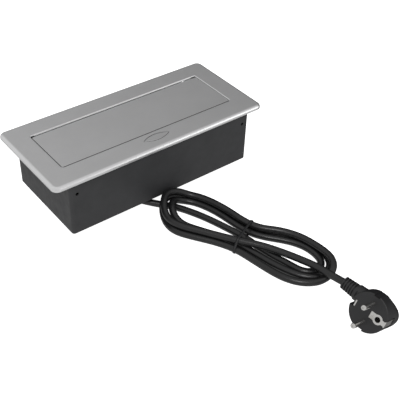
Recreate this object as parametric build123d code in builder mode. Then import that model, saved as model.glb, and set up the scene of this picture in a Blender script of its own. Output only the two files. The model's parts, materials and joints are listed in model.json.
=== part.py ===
from build123d import *
import math
import os

os.makedirs("parts", exist_ok=True)

# ---------------------------------------------------------------- dimensions (mm)
# Flip-up desk socket: a satin metal bezel with a flush lid, a black sheet-steel
# box under it, a socket carrier that swings up with the lid, and a mains lead.
# Origin: centre of the flange in plan, z = 0 where the base pan stands.

base_h = 12.0            # base pan depth below the steel box
box_h = 58.3             # steel box below the flange's rim
rim_h = 4.5              # bezel height
z_rim = base_h + box_h   # underside of the rim, rests on the desk
z_top = z_rim + rim_h    # top of the bezel
plate_t = 1.8            # bezel plate
z_pl = z_top - plate_t   # underside of the bezel plate

bezel_l, bezel_d, bezel_r = 245.0, 109.0, 6.6
rim_w = 2.2
open_l = 199.4           # lid opening
open_y0, open_y1 = -29.3, 31.5
open_r = 2.6

box_l, box_d, sheet = 212.6, 103.0, 1.0
box_r = 3.0
lip_w = 10.0             # inward lips at the bottom of the box
screw_hole_x = 98.6      # fixing holes in the front and rear walls
screw_hole_z = z_rim - 12.7
screw_hole_r = 1.7

# lid and carrier, drawn about the hinge pin
pin_y, pin_z = 28.0, z_top - 4.7
pin_r = 1.5
lid_t = 1.8
lid_drop = 0.6           # lid surface below the bezel surface
lid_z1 = z_top - lid_drop
lid_z0 = lid_z1 - lid_t
lid_y0, lid_y1 = -28.7, 29.0
lid_l = 198.4
cheek_x1 = 98.7          # outer face of the carrier's end cheeks
cheek_t = 2.0
cheek_x0 = cheek_x1 - cheek_t
tilt = math.radians(22.8)        # socket face leans back under the lid
face_len = 52.4
face_y0 = -49.7                  # top of the face, from the pin
face_z0 = lid_z0 - pin_z
deep = 36.0                      # carrier depth behind the face
front_wall = 2.4
web = 1.2                        # lower web
roof = 2.0                       # web under the lid
socket_pitch = 60.0
socket_v = -30.6                 # socket centre, down the face from the lid
open_deg = 52.0

# sockets, two-pole with earth pin
recess_r, recess_d = 19.0, 17.5
pole_pitch = 19.0
earth_off = 10.0
live_v, neutral_v = -38.2, -26.0  # busbars, down the face from the lid
contact_r = 2.4

# release button
btn_x, btn_y = -1.0, -38.9
btn_w, btn_h = 29.2, 8.8
btn_travel = 2.5

# rotary damper
mod = 0.8
sector_z, pinion_z = 35, 10
mesh_deg = -58.0

# lead
cord_d = 7.0


def carr(v, d):
    """Point of the carrier section: v up the socket face from its top edge, d behind the face."""
    return (
        pin_y + face_y0 - v * math.sin(tilt) + d * math.cos(tilt),
        pin_z + face_z0 + v * math.cos(tilt) + d * math.sin(tilt),
    )


face_plane = Plane(
    origin=(0, pin_y + face_y0, pin_z + face_z0),
    x_dir=(1, 0, 0),
    z_dir=(0, -math.cos(tilt), -math.sin(tilt)),
)


def yz(x):
    """Sketch plane across the part at x, drawn in (y, z)."""
    return Plane.YZ.offset(x)


def save(piece, name):
    piece.label = name
    export_step(piece, "parts/" + name + ".step")


# ================================================================ bezel and box
with BuildPart() as bezel:
    with BuildSketch(Plane.XY.offset(z_rim)):
        RectangleRounded(bezel_l, bezel_d, bezel_r)
    extrude(amount=rim_h)
    fillet(bezel.faces().sort_by(Axis.Z)[-1].edges(), 3.2)
    # hollow underside inside the rim
    with BuildSketch(Plane.XY.offset(z_rim)):
        RectangleRounded(bezel_l - 2 * rim_w, bezel_d - 2 * 2.0, bezel_r - 2.0)
    extrude(amount=rim_h - plate_t, mode=Mode.SUBTRACT)
    # lid opening
    with BuildSketch(Plane.XY.offset(z_pl - 1)) as hole:
        with Locations((0, (open_y0 + open_y1) / 2)):
            Rectangle(open_l, open_y1 - open_y0)
        fillet(hole.vertices().sort_by(Axis.Y)[:2], open_r)
        fillet(hole.vertices().sort_by(Axis.Y)[-2:], 1.0)
    extrude(amount=plate_t + 2, mode=Mode.SUBTRACT)
    # the opening's edge is rolled over a little
    rolled = bezel.edges().filter_by_position(Axis.Z, z_top - 0.01, z_top + 0.01)
    fillet(rolled.filter_by_position(Axis.X, -open_l / 2 - 0.1, open_l / 2 + 0.1).filter_by_position(Axis.Y, open_y0 - 0.1, open_y1 + 0.1), 0.9)
    # lens-shaped hole for the release button
    lens_r = ((btn_w / 2 + 0.65) ** 2 + (btn_h / 2 + 0.6) ** 2) / (2 * (btn_h / 2 + 0.6))
    with BuildSketch(Plane.XY.offset(z_pl - 1)):
        with Locations((btn_x, btn_y + lens_r - btn_h / 2 - 0.6)):
            Circle(lens_r)
        with Locations((btn_x, btn_y - lens_r + btn_h / 2 + 0.6)):
            Circle(lens_r, mode=Mode.INTERSECT)
    extrude(amount=plate_t + 2, mode=Mode.SUBTRACT)
    # screw bosses for the box and for the button guide
    with BuildSketch(Plane.XY.offset(66.0)):
        with Locations((-90, -41), (90, -41), (-62, 42), (62, 42)):
            Circle(3.5)
    extrude(amount=z_pl - 66.0)
    with BuildSketch(Plane.XY.offset(68.0)):
        with Locations((btn_x - 26, -39), (btn_x + 26, -39)):
            Circle(3.0)
    extrude(amount=z_pl - 68.0)
    with BuildSketch(Plane.XY.offset(65.0)):
        with Locations((-90, -41), (90, -41), (-62, 42), (62, 42)):
            Circle(1.3)
    extrude(amount=73.8 - 65.0, mode=Mode.SUBTRACT)
    with BuildSketch(Plane.XY.offset(67.0)):
        with Locations((btn_x - 26, -39), (btn_x + 26, -39)):
            Circle(1.1)
    extrude(amount=73.8 - 67.0, mode=Mode.SUBTRACT)
    # hinge lugs outside the opening's ends
    for s in (-1, 1):
        with BuildSketch(yz(99.9 if s > 0 else -102.3)):
            with BuildLine():
                Polyline((22.5, z_pl), (22.5, 67.2), (25.5, 66.0), (30.5, 66.0), (33.5, 67.2), (33.5, z_pl), close=True)
            make_face()
            with Locations((pin_y, pin_z)):
                Circle(pin_r, mode=Mode.SUBTRACT)
        extrude(amount=2.4)
save(bezel.part, "bezel_frame")

with BuildPart() as box:
    with BuildSketch(Plane.XY.offset(base_h)):
        RectangleRounded(box_l, box_d, box_r)
    extrude(amount=z_pl - base_h)
    with BuildSketch(Plane.XY.offset(base_h + sheet)):
        RectangleRounded(box_l - 2 * sheet, box_d - 2 * sheet, box_r - sheet)
    extrude(amount=z_pl, mode=Mode.SUBTRACT)
    with BuildSketch(Plane.XY.offset(base_h - 1)):
        RectangleRounded(box_l - 2 * lip_w, box_d - 2 * lip_w, 4)
    extrude(amount=4, mode=Mode.SUBTRACT)
    # tabs bent in near the top, screwed up to the bezel
    with BuildSketch(Plane.XY.offset(65.0)):
        with Locations((-90, -44), (90, -44)):
            Rectangle(12, 13.4)
        with Locations((-62, 44.2), (62, 44.2)):
            Rectangle(12, 13.0)
    extrude(amount=1.0)
    with BuildSketch(Plane.XY.offset(64.0)):
        with Locations((-90, -41), (90, -41), (-62, 42), (62, 42)):
            Circle(1.7)
    extrude(amount=3, mode=Mode.SUBTRACT)
    # fixing holes through the front and rear walls, damper bracket holes in the rear wall
    with BuildSketch(Plane.XZ.offset(-60)):
        with Locations((-screw_hole_x, screw_hole_z), (screw_hole_x, screw_hole_z)):
            Circle(screw_hole_r)
    extrude(amount=120, mode=Mode.SUBTRACT)
    with BuildSketch(Plane.XZ.offset(-53)):
        with Locations((69, 59), (77, 49)):
            Circle(1.6)
    extrude(amount=5, mode=Mode.SUBTRACT)
    # holes for the base screws in the lips
    with BuildSketch(Plane.XY.offset(base_h - 1)):
        with Locations(*[(x, y) for x in (-70, 0, 70) for y in (-46, 46)]):
            Circle(1.6)
    extrude(amount=3, mode=Mode.SUBTRACT)
    # posts that hold the front ends of the lift springs
    for s in (-1, 1):
        post = box_l / 2 - sheet + 0.2 - 99.6
        with BuildSketch(yz(99.6 if s > 0 else -99.6 - post)):
            with Locations((-47.5, 52.0)):
                Circle(1.2)
        extrude(amount=post)
save(box.part, "box_shell")

pan_outline = [
    (-75, -36), (-39.1, -36), (-52.9, -22.2), (-37.3, -6.6),
    (-7.9, -36), (75, -36), (75, 36), (-75, 36),
]
gland_x, gland_y, gland_z = -45.1, -14.4, 6.5
q = math.sqrt(0.5)
gland_plane = Plane(origin=(gland_x, gland_y, gland_z), x_dir=(q, q, 0), z_dir=(q, -q, 0))

with BuildPart() as base:
    with BuildSketch(Plane.XY.offset(base_h + sheet)):
        RectangleRounded(box_l - 2 * sheet - 1.6, box_d - 2 * sheet - 1.6, 1.6)
    extrude(amount=1.6)
    # cut-out over the pan
    with BuildSketch(Plane.XY.offset(base_h)):
        with BuildLine():
            Polyline(*pan_outline, close=True)
        make_face()
        offset(amount=-2.0, kind=Kind.INTERSECTION, mode=Mode.REPLACE)
    extrude(amount=4, mode=Mode.SUBTRACT)
    # bosses for the base screws
    with BuildSketch(Plane.XY.offset(base_h + sheet + 1.6)):
        with Locations(*[(x, y) for x in (-70, 0, 70) for y in (-46, 46)]):
            Circle(3.2)
    extrude(amount=5.0)
    with BuildSketch(Plane.XY.offset(base_h + sheet)):
        with Locations(*[(x, y) for x in (-70, 0, 70) for y in (-46, 46)]):
            Circle(1.25)
    extrude(amount=5.6, mode=Mode.SUBTRACT)
save(base.part, "base_cover")

# wiring pan welded under the cover, round the cut-out
with BuildPart() as pan:
    with BuildSketch():
        with BuildLine():
            Polyline(*pan_outline, close=True)
        make_face()
    extrude(amount=base_h + sheet)
    with BuildSketch(Plane.XY.offset(2.0)):
        with BuildLine():
            Polyline(*pan_outline, close=True)
        make_face()
        offset(amount=-2.0, kind=Kind.INTERSECTION, mode=Mode.REPLACE)
    extrude(amount=20, mode=Mode.SUBTRACT)
    # gland hole in the slanted wall of the lead's channel
    with BuildSketch(gland_plane.offset(-4)):
        Circle(4.0)
    extrude(amount=6, mode=Mode.SUBTRACT)
    # posts of the lead clamp
    with BuildSketch(Plane(origin=(-51.0, -8.5, 2.0), x_dir=(q, q, 0), z_dir=(0, 0, 1))):
        with Locations((-7.4, 0), (7.4, 0)):
            Circle(3.0)
    extrude(amount=8.1)
    with BuildSketch(Plane(origin=(-51.0, -8.5, 3.5), x_dir=(q, q, 0), z_dir=(0, 0, 1))):
        with Locations((-7.4, 0), (7.4, 0)):
            Circle(1.2)
    extrude(amount=8.1, mode=Mode.SUBTRACT)
    fillet(pan.edges().filter_by(GeomType.LINE).group_by(Axis.Z)[0], 0.8)
save(pan.part, "base_pan")


# ================================================================ carrier with the lid
with BuildPart() as lid:
    with BuildSketch(Plane.XY.offset(lid_z0)) as plate:
        with Locations((0, (lid_y0 + lid_y1) / 2)):
            Rectangle(lid_l, lid_y1 - lid_y0)
        fillet(plate.vertices().sort_by(Axis.Y)[:2], open_r - 0.6)
        fillet(plate.vertices().sort_by(Axis.Y)[-2:], 1.2)
    extrude(amount=lid_t)
    # rear edge rolled down round the hinge line, so it stays at one distance from the rim as the lid swings
    with BuildSketch(yz(-95.0)):
        with BuildLine():
            p1 = [(pin_y + 4.0 * math.cos(math.radians(a)), pin_z + 4.0 * math.sin(math.radians(a))) for a in (12, 44, 76)]
            p2 = [(pin_y + 3.0 * math.cos(math.radians(a)), pin_z + 3.0 * math.sin(math.radians(a))) for a in (76, 44, 12)]
            ThreePointArc(*p1)
            Line(p1[2], p2[0])
            ThreePointArc(*p2)
            Line(p2[2], p1[0])
        make_face()
    extrude(amount=190.0)
    # studs welded under the lid
    with BuildSketch(Plane.XY.offset(lid_z0 - 5.2)):
        with Locations((-90, -14), (90, -14), (-30, -14), (30, -14)):
            Circle(1.5)
    extrude(amount=5.2)
save(lid.part, "lid_plate")

with BuildPart() as lid_nuts:
    with BuildSketch(Plane.XY.offset(lid_z0 - roof - 2.2)):
        with Locations((-90, -14), (90, -14), (-30, -14), (30, -14)):
            RegularPolygon(3.1, 6)
            Circle(1.52, mode=Mode.SUBTRACT)
    extrude(amount=2.2)
save(lid_nuts.part, "lid_nuts")

def v_under_roof(d, gap):
    """Height up the face of the plane that lies `gap` under the lid, at depth d."""
    return (-gap - d * math.sin(tilt)) / math.cos(tilt)


body_prof = [carr(0, 0), carr(-face_len, 0), carr(-face_len, deep), carr(v_under_roof(deep, 0), deep)]

with BuildPart() as housing:
    with BuildSketch(yz(-cheek_x1)):
        with BuildLine():
            Polyline(*body_prof, close=True)
        make_face()
    extrude(amount=2 * cheek_x1)
    # end cheeks reach back to the hinge pin
    for s in (-1, 1):
        with BuildSketch(yz(cheek_x0 if s > 0 else -cheek_x1)):
            with BuildLine():
                Polyline(
                    carr(0, 0), carr(-face_len, 0), carr(-face_len, deep),
                    (pin_y + 4.2, pin_z - 6.0), (pin_y + 3.4, pin_z - 0.5), (pin_y + 1.9, lid_z0),
                    close=True,
                )
            make_face()
        extrude(amount=cheek_t)
    # hollow inside
    with BuildSketch(yz(-cheek_x0)):
        with BuildLine():
            Polyline(
                carr(-face_len + web, front_wall), carr(-face_len + web, deep + 3),
                carr(v_under_roof(deep + 3, roof), deep + 3), carr(v_under_roof(front_wall, roof), front_wall),
                close=True,
            )
        make_face()
    extrude(amount=2 * cheek_x0, mode=Mode.SUBTRACT)
    # hinge holes
    with BuildSketch(yz(-110)):
        with Locations((pin_y, pin_z)):
            Circle(pin_r + 0.06)
    extrude(amount=220, mode=Mode.SUBTRACT)
    # seats and through-holes of the three sockets
    with BuildSketch(face_plane.offset(-1.2)):
        with Locations(*[(i * socket_pitch, socket_v) for i in (-1, 0, 1)]):
            RectangleRounded(42.0, 42.0, 2.2)
    extrude(amount=3, mode=Mode.SUBTRACT)
    with BuildSketch(face_plane.offset(-4)):
        with Locations(*[(i * socket_pitch, socket_v) for i in (-1, 0, 1)]):
            Circle(20.4)
    extrude(amount=6, mode=Mode.SUBTRACT)
    # screw posts for the rear cover
    with BuildSketch(face_plane.offset(-front_wall)):
        with Locations((-90, -46), (90, -46), (-90, -23), (90, -23)):
            Circle(2.8)
    extrude(amount=-(34.4 - front_wall))
    with BuildSketch(face_plane.offset(-34.4)):
        with Locations((-90, -46), (90, -46), (-90, -23), (90, -23)):
            Circle(1.1)
    extrude(amount=10, mode=Mode.SUBTRACT)
    # stud holes and latch seats in the roof web
    with BuildSketch(Plane.XY.offset(lid_z0 - 6)):
        with Locations((-90, -14), (90, -14), (-30, -14), (30, -14)):
            Circle(1.8)
    extrude(amount=7, mode=Mode.SUBTRACT)
    with BuildSketch(Plane.XY.offset(lid_z0 - 1.0)):
        with Locations((-30, -22.5), (30, -22.5)):
            Rectangle(12.4, 13.4)
    extrude(amount=2, mode=Mode.SUBTRACT)
    # spring studs on the outer faces
    for s in (-1, 1):
        with BuildSketch(yz(cheek_x1 if s > 0 else -cheek_x1 - 2.9)):
            with Locations((pin_y - 1.5, pin_z - 27.5)):
                Circle(1.2)
        extrude(amount=2.9)
    # stop studs that meet the bezel's underside when the carrier is fully up
    stop_a = math.pi - math.asin((z_pl - pin_z - 1.5) / 20.0) + math.radians(open_deg)
    for s in (-1, 1):
        with BuildSketch(yz(cheek_x1 if s > 0 else -cheek_x1 - 2.9)):
            with Locations((pin_y + 20.0 * math.cos(stop_a), pin_z + 20.0 * math.sin(stop_a))):
                Circle(1.2)
        extrude(amount=2.9)
save(housing.part, "carrier_housing")

with BuildPart() as cover:
    with BuildSketch(yz(-cheek_x0 + 0.2)):
        with BuildLine():
            Polyline(
                carr(-face_len + web + 0.2, 34.4), carr(-face_len + web + 0.2, 36.0),
                carr(v_under_roof(36.0, roof) - 0.4, 36.0), carr(v_under_roof(34.4, roof) - 0.4, 34.4),
                close=True,
            )
        make_face()
    extrude(amount=2 * cheek_x0 - 0.4)
    with BuildSketch(face_plane.offset(-37)):
        with Locations((-90, -46), (90, -46), (-90, -23), (90, -23)):
            Circle(1.4)
        with Locations((-64, live_v), (-56, neutral_v), (-48, socket_v + earth_off)):
            Circle(1.6)
    extrude(amount=4, mode=Mode.SUBTRACT)
save(cover.part, "carrier_cover")

with BuildPart() as cover_screws:
    with BuildSketch(face_plane.offset(-36.0)):
        with Locations((-90, -46), (90, -46), (-90, -23), (90, -23)):
            Circle(2.4)
    extrude(amount=-1.5)
    with BuildSketch(face_plane.offset(-36.0)):
        with Locations((-90, -46), (90, -46), (-90, -23), (90, -23)):
            Circle(1.1)
    extrude(amount=8.0)
save(cover_screws.part, "carrier_screws")

sides = {"left": -1, "centre": 0, "right": 1}
for side, i in sides.items():
    cx = i * socket_pitch
    with BuildPart() as sock:
        with BuildSketch(face_plane.offset(-1.2)):
            with Locations((cx, socket_v)):
                RectangleRounded(41.6, 41.6, 2.0)
        extrude(amount=1.2)
        with BuildSketch(face_plane.offset(-1.2)):
            with Locations((cx, socket_v)):
                Circle(20.2)
        extrude(amount=-(19.5 - 1.2))
        with BuildSketch(face_plane.offset(1)):
            with Locations((cx, socket_v)):
                Circle(recess_r)
        extrude(amount=-(recess_d + 1), mode=Mode.SUBTRACT)
        with BuildSketch(face_plane.offset(-recess_d + 1)):
            with Locations((cx - pole_pitch / 2, socket_v), (cx + pole_pitch / 2, socket_v)):
                Circle(2.7)
            with Locations((cx, socket_v + earth_off)):
                Circle(contact_r)
        extrude(amount=-6, mode=Mode.SUBTRACT)
        # upper rim of the barrel is cut back where it runs under the roof web
        with BuildSketch(yz(cx - 25)):
            with BuildLine():
                Polyline(
                    carr(v_under_roof(3, roof + 0.1), 3), carr(v_under_roof(25, roof + 0.1), 25), carr(10, 25), carr(10, 3),
                    close=True,
                )
            make_face()
        extrude(amount=50, mode=Mode.SUBTRACT)
    save(sock.part, "socket_" + side)

    with BuildPart() as sbase:
        with BuildSketch(face_plane.offset(-19.5)):
            with Locations((cx, socket_v - 0.7)):
                RectangleRounded(42.0, 29.4, 1.5)
        extrude(amount=-12.3)
        with BuildSketch(face_plane.offset(-19.5)):
            with Locations((cx, socket_v)):
                Rectangle(40.0, 9.6)
        extrude(amount=-2.6, mode=Mode.SUBTRACT)
        with BuildSketch(face_plane.offset(-22)):
            with Locations((cx - pole_pitch / 2, socket_v), (cx + pole_pitch / 2, socket_v)):
                Circle(3.9)
        extrude(amount=-12, mode=Mode.SUBTRACT)
        with BuildSketch(face_plane.offset(-19)):
            with Locations((cx, socket_v + earth_off)):
                Circle(contact_r)
        extrude(amount=-15, mode=Mode.SUBTRACT)
    save(sbase.part, "socket_base_" + side)

    with BuildPart() as shut:
        with BuildSketch(face_plane.offset(-20.0)):
            with Locations((cx - 3.35, socket_v)):
                Rectangle(32.5, 8.6)
            with Locations((cx + pole_pitch / 2 - 6, socket_v), (cx - pole_pitch / 2 - 6, socket_v)):
                Circle(2.9, mode=Mode.SUBTRACT)
        extrude(amount=-1.6)
    save(shut.part, "shutter_" + side)

with BuildPart() as earth_pins:
    for i in (-1, 0, 1):
        with BuildSketch(face_plane.offset(-3.5)):
            with Locations((i * socket_pitch, socket_v + earth_off)):
                Circle(contact_r)
        extrude(amount=-28.3)
    tips = earth_pins.faces().filter_by(GeomType.PLANE).sort_by(Axis(origin=face_plane.origin, direction=face_plane.z_dir))[-3:]
    fillet(tips.edges(), 1.6)
save(earth_pins.part, "earth_pins")


def busbar(x_off, v0, v1):
    """Brass strip behind the socket bases with one contact sleeve per socket."""
    with BuildPart() as bar:
        with BuildSketch(face_plane.offset(-31.9)):
            with Locations((0, (v0 + v1) / 2)):
                Rectangle(2 * socket_pitch + 30, abs(v1 - v0))
            with Locations(*[(i * socket_pitch + x_off, (socket_v + (v0 + v1) / 2) / 2) for i in (-1, 0, 1)]):
                Rectangle(6.0, abs(socket_v - (v0 + v1) / 2) + 2.0)
        extrude(amount=-0.8)
        with BuildSketch(face_plane.offset(-31.9)):
            with Locations(*[(i * socket_pitch + x_off, socket_v) for i in (-1, 0, 1)]):
                Circle(3.6)
        extrude(amount=9.0)
        with BuildSketch(face_plane.offset(-33)):
            with Locations(*[(i * socket_pitch + x_off, socket_v) for i in (-1, 0, 1)]):
                Circle(2.45)
        extrude(amount=12, mode=Mode.SUBTRACT)
    return bar.part


save(busbar(-pole_pitch / 2, live_v - 2.6, live_v + 2.6), "live_busbar")
save(busbar(pole_pitch / 2, neutral_v - 1.2, neutral_v + 1.2), "neutral_busbar")

with BuildPart() as ebar:
    with BuildSketch(face_plane.offset(-31.8)):
        with Locations((0, socket_v + earth_off)):
            Rectangle(2 * socket_pitch + 30, 4.4)
        with Locations(*[(i * socket_pitch, socket_v + earth_off) for i in (-1, 0, 1)]):
            Circle(3.4)
    extrude(amount=-1.0)
save(ebar.part, "earth_busbar")

# two steel keepers under the lid's front edge, each with a window for the latch nose
with BuildPart() as keepers:
    for kx in (-30, 30):
        with BuildSketch(yz(kx - 6)):
            with BuildLine():
                Polyline(
                    (pin_y - 56.4, lid_z0), (pin_y - 56.4, pin_z - 6.0), (pin_y - 55.4, pin_z - 6.0),
                    (pin_y - 55.4, lid_z0 - 0.95), (-16.2, lid_z0 - 0.95), (-16.2, lid_z0),
                    close=True,
                )
            make_face()
        extrude(amount=12)
    with BuildSketch(Plane.XZ.offset(30)):
        with Locations((-30, pin_z - 2.6), (30, pin_z - 2.6)):
            Rectangle(8.6, 3.4)
    extrude(amount=-4, mode=Mode.SUBTRACT)
save(keepers.part, "latch_keepers")


# ================================================================ hinge, springs, damper
for side, s in (("left", -1), ("right", 1)):
    with BuildPart() as hp:
        with BuildSketch(yz(95.2 if s > 0 else -102.3)):
            with Locations((pin_y, pin_z)):
                Circle(pin_r)
        extrude(amount=7.1)
        with BuildSketch(yz(94.9 if s > 0 else -96.4)):
            with Locations((pin_y, pin_z)):
                Circle(2.1)
        extrude(amount=1.5)
    save(hp.part, "hinge_pin_" + side)

    # extension spring that lifts the carrier: tight coil between two rings
    a_y, a_z = -47.5, 52.0
    b_y, b_z = pin_y - 1.5, pin_z - 27.5
    ln = math.hypot(b_y - a_y, b_z - a_z)
    uy, uz = (b_y - a_y) / ln, (b_z - a_z) / ln
    xs = s * 100.7
    with BuildPart() as ls:
        with BuildSketch(Plane(origin=(xs, a_y + 5.2 * uy, a_z + 5.2 * uz), x_dir=(1, 0, 0), z_dir=(0, uy, uz))):
            Circle(1.6)
            Circle(1.0, mode=Mode.SUBTRACT)
        extrude(amount=ln - 10.4)
        for e_y, e_z, sg in ((a_y, a_z, 1), (b_y, b_z, -1)):
            with BuildSketch(yz(xs - 0.35)):
                with Locations((e_y, e_z)):
                    Circle(2.1)
                    Circle(1.5, mode=Mode.SUBTRACT)
            extrude(amount=0.7)
            # straight tail from the ring to the coil
            with BuildSketch(Plane(origin=(xs, e_y + sg * 1.7 * uy, e_z + sg * 1.7 * uz), x_dir=(1, 0, 0), z_dir=(0, sg * uy, sg * uz))):
                Rectangle(0.7, 0.7)
            extrude(amount=3.7)
            with BuildSketch(Plane(origin=(xs, e_y + sg * 5.0 * uy, e_z + sg * 5.0 * uz), x_dir=(1, 0, 0), z_dir=(0, sg * uy, sg * uz))):
                Circle(1.6)
            extrude(amount=0.6)
    save(ls.part, "lift_spring_" + side)


def tooth_ring(n, pitch_r, tip_add, root_ded, thin, first, count, centre_deg):
    """Outline points of involute teeth; tooth k is centred at centre_deg + (first + k) pitches."""
    alpha = math.radians(20)
    rb = pitch_r * math.cos(alpha)
    ra = pitch_r + tip_add
    rf = pitch_r - root_ded
    inv_a = math.tan(alpha) - alpha
    half = math.pi / (2 * n) - thin / pitch_r
    pts = []
    for k in range(count):
        c = math.radians(centre_deg) + 2 * math.pi * (first + k) / n
        flank = []
        r0 = max(rb, rf)
        for j in range(6):
            r = r0 + (ra - r0) * j / 5
            t = math.acos(min(1.0, rb / r))
            h = half + inv_a - (math.tan(t) - t)
            flank.append((r, h))
        if rf < rb:
            flank.insert(0, (rf, flank[0][1]))
        for r, h in flank:
            pts.append((r * math.cos(c - h), r * math.sin(c - h)))
        for r, h in reversed(flank):
            pts.append((r * math.cos(c + h), r * math.sin(c + h)))
    return pts


sector_r = mod * sector_z / 2
pinion_r = mod * pinion_z / 2
centre_d = sector_r + pinion_r
mesh = math.radians(mesh_deg)
pin_c = (pin_y + centre_d * math.cos(mesh), pin_z + centre_d * math.sin(mesh))

# toothed sector on the right cheek; a tooth gap faces the pinion at rest
teeth = tooth_ring(sector_z, sector_r, 0.5, 1.0, 0.07, -0.5, 7, mesh_deg)
with BuildPart() as sector:
    with BuildSketch(yz(94.0)):
        with BuildLine():
            pts = [(pin_y + y, pin_z + z) for y, z in teeth]
            end_a = math.atan2(teeth[-1][1], teeth[-1][0])
            start_a = math.atan2(teeth[0][1], teeth[0][0])
            Polyline(
                *pts,
                (pin_y + 5.4 * math.cos(end_a), pin_z + min(5.4 * math.sin(end_a), 2.0)),
                (pin_y - 3.5, pin_z + 1.9), (pin_y - 5.6, pin_z - 2.5),
                (pin_y + 5.0 * math.cos(start_a), pin_z + 5.0 * math.sin(start_a)),
                close=True,
            )
        make_face()
        with Locations((pin_y, pin_z)):
            Circle(2.5, mode=Mode.SUBTRACT)
    extrude(amount=cheek_x0 - 94.0)
save(sector.part, "damper_sector")

p_teeth = tooth_ring(pinion_z, pinion_r, 0.7, 1.0, 0.07, 0, pinion_z, mesh_deg + 180)
with BuildPart() as pinion:
    with BuildSketch(yz(93.4)):
        with BuildLine():
            Polyline(*[(pin_c[0] + y, pin_c[1] + z) for y, z in p_teeth], close=True)
        make_face()
    extrude(amount=3.0)
    with BuildSketch(yz(84.4)):
        with Locations(pin_c):
            Circle(1.5)
    extrude(amount=9.2)
save(pinion.part, "damper_pinion")

with BuildPart() as damper:
    with BuildSketch(yz(82.5)):
        with Locations(pin_c):
            Circle(6.6)
    extrude(amount=10.4)
    with BuildSketch(yz(81.0)):
        with Locations(pin_c):
            Circle(4.0)
    extrude(amount=1.5)
    with BuildSketch(yz(84.0)):
        with Locations(pin_c):
            Circle(1.58)
    extrude(amount=10, mode=Mode.SUBTRACT)
    fillet(damper.faces().filter_by(Axis.X).sort_by(Axis.X)[-1].edges().sort_by(SortBy.RADIUS)[-1:], 0.8)
save(damper.part, "damper_body")

with BuildPart() as bracket:
    with BuildSketch(yz(81.0)):
        with BuildLine():
            Polyline((30.5, 48.5), (50.5, 44.0), (50.5, 64.0), (40.0, 64.0), (30.5, 60.0), close=True)
        make_face()
        with Locations(pin_c):
            Circle(4.0, mode=Mode.SUBTRACT)
    extrude(amount=1.5)
    with BuildSketch(Plane.XZ.offset(-50.5)):
        with BuildLine():
            Polyline((64.5, 44.0), (82.5, 44.0), (82.5, 64.0), (64.5, 64.0), close=True)
        make_face()
        with Locations((69, 59), (77, 49)):
            Circle(1.5, mode=Mode.SUBTRACT)
    extrude(amount=1.5)
save(bracket.part, "damper_bracket")

with BuildPart() as damper_screws:
    with BuildSketch(Plane.XZ.offset(-51.5)):
        with Locations((69, 59), (77, 49)):
            Circle(2.7)
    extrude(amount=-1.8)
    with BuildSketch(Plane.XZ.offset(-51.5)):
        with Locations((69, 59), (77, 49)):
            Circle(1.5)
    extrude(amount=5.5)
    with BuildSketch(Plane.XZ.offset(-49.0)):
        with Locations((69, 59), (77, 49)):
            RegularPolygon(2.9, 6)
            Circle(1.5, mode=Mode.SUBTRACT)
    extrude(amount=2.2)
save(damper_screws.part, "damper_screws")


# ================================================================ release button and latch
def lens(w, h):
    r = ((w / 2) ** 2 + (h / 2) ** 2) / h
    with Locations((btn_x, btn_y + r - h / 2)):
        Circle(r)
    with Locations((btn_x, btn_y - r + h / 2)):
        Circle(r, mode=Mode.INTERSECT)


with BuildPart() as button:
    with BuildSketch(Plane.XY.offset(71.4)):
        lens(btn_w, btn_h)
    extrude(amount=z_top + 0.1 - 71.4)
    fillet(button.faces().sort_by(Axis.Z)[-1].edges(), 0.45)
    with BuildSketch(Plane.XY.offset(71.4)):
        with Locations((btn_x, btn_y)):
            SlotOverall(31.6, 10.6)
    extrude(amount=1.2)
    with BuildSketch(Plane.XY.offset(59.0)):
        with Locations((btn_x, btn_y)):
            Circle(3.0)
    extrude(amount=12.5)
    # the stem's end is cut at 45 degrees to ride on the latch spring's ramp
    with BuildSketch(yz(btn_x - 6)):
        with BuildLine():
            Polyline((-50, 55.9 + 19), (-50, 50), (-30, 50), (-30, 55.9 - 1.0), close=True)
        make_face()
    extrude(amount=12, mode=Mode.SUBTRACT)
save(button.part, "release_button")

with BuildPart() as guide:
    with BuildSketch(Plane.XY.offset(64.5)):
        with Locations((btn_x, (-46.6 - 31.5) / 2)):
            Rectangle(37.4, 15.1)
    extrude(amount=z_pl - 64.5)
    with BuildSketch(Plane.XY.offset(66.5)):
        with Locations((btn_x, btn_y)):
            SlotOverall(33.4, 12.2)
    extrude(amount=10, mode=Mode.SUBTRACT)
    with BuildSketch(Plane.XY.offset(64.0)):
        with Locations((btn_x, btn_y)):
            Circle(3.35)
    extrude(amount=4, mode=Mode.SUBTRACT)
    # ears
    with BuildSketch(Plane.XY.offset(66.3)):
        with Locations((btn_x, -39)):
            SlotOverall(61.0, 8.0)
        with Locations((btn_x, -39)):
            Rectangle(36.0, 9.0, mode=Mode.SUBTRACT)
        with Locations((btn_x - 26, -39), (btn_x + 26, -39)):
            Circle(1.4, mode=Mode.SUBTRACT)
    extrude(amount=1.7)
    # two legs and a bar that carry the latch spring
    with BuildSketch(Plane.XY.offset(48.0)):
        with Locations((btn_x - 16.5, -33.2), (btn_x + 16.5, -33.2)):
            Rectangle(4.4, 4.0)
    extrude(amount=17.0)
    with BuildSketch(Plane.XY.offset(48.0)):
        with Locations((btn_x, -33.2)):
            Rectangle(37.4, 4.0)
    extrude(amount=5.6)
    with BuildSketch(Plane.XZ.offset(36)):
        with Locations((btn_x - 9, 50.8), (btn_x + 9, 50.8)):
            Circle(1.0)
    extrude(amount=-6, mode=Mode.SUBTRACT)
save(guide.part, "button_guide")

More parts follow.
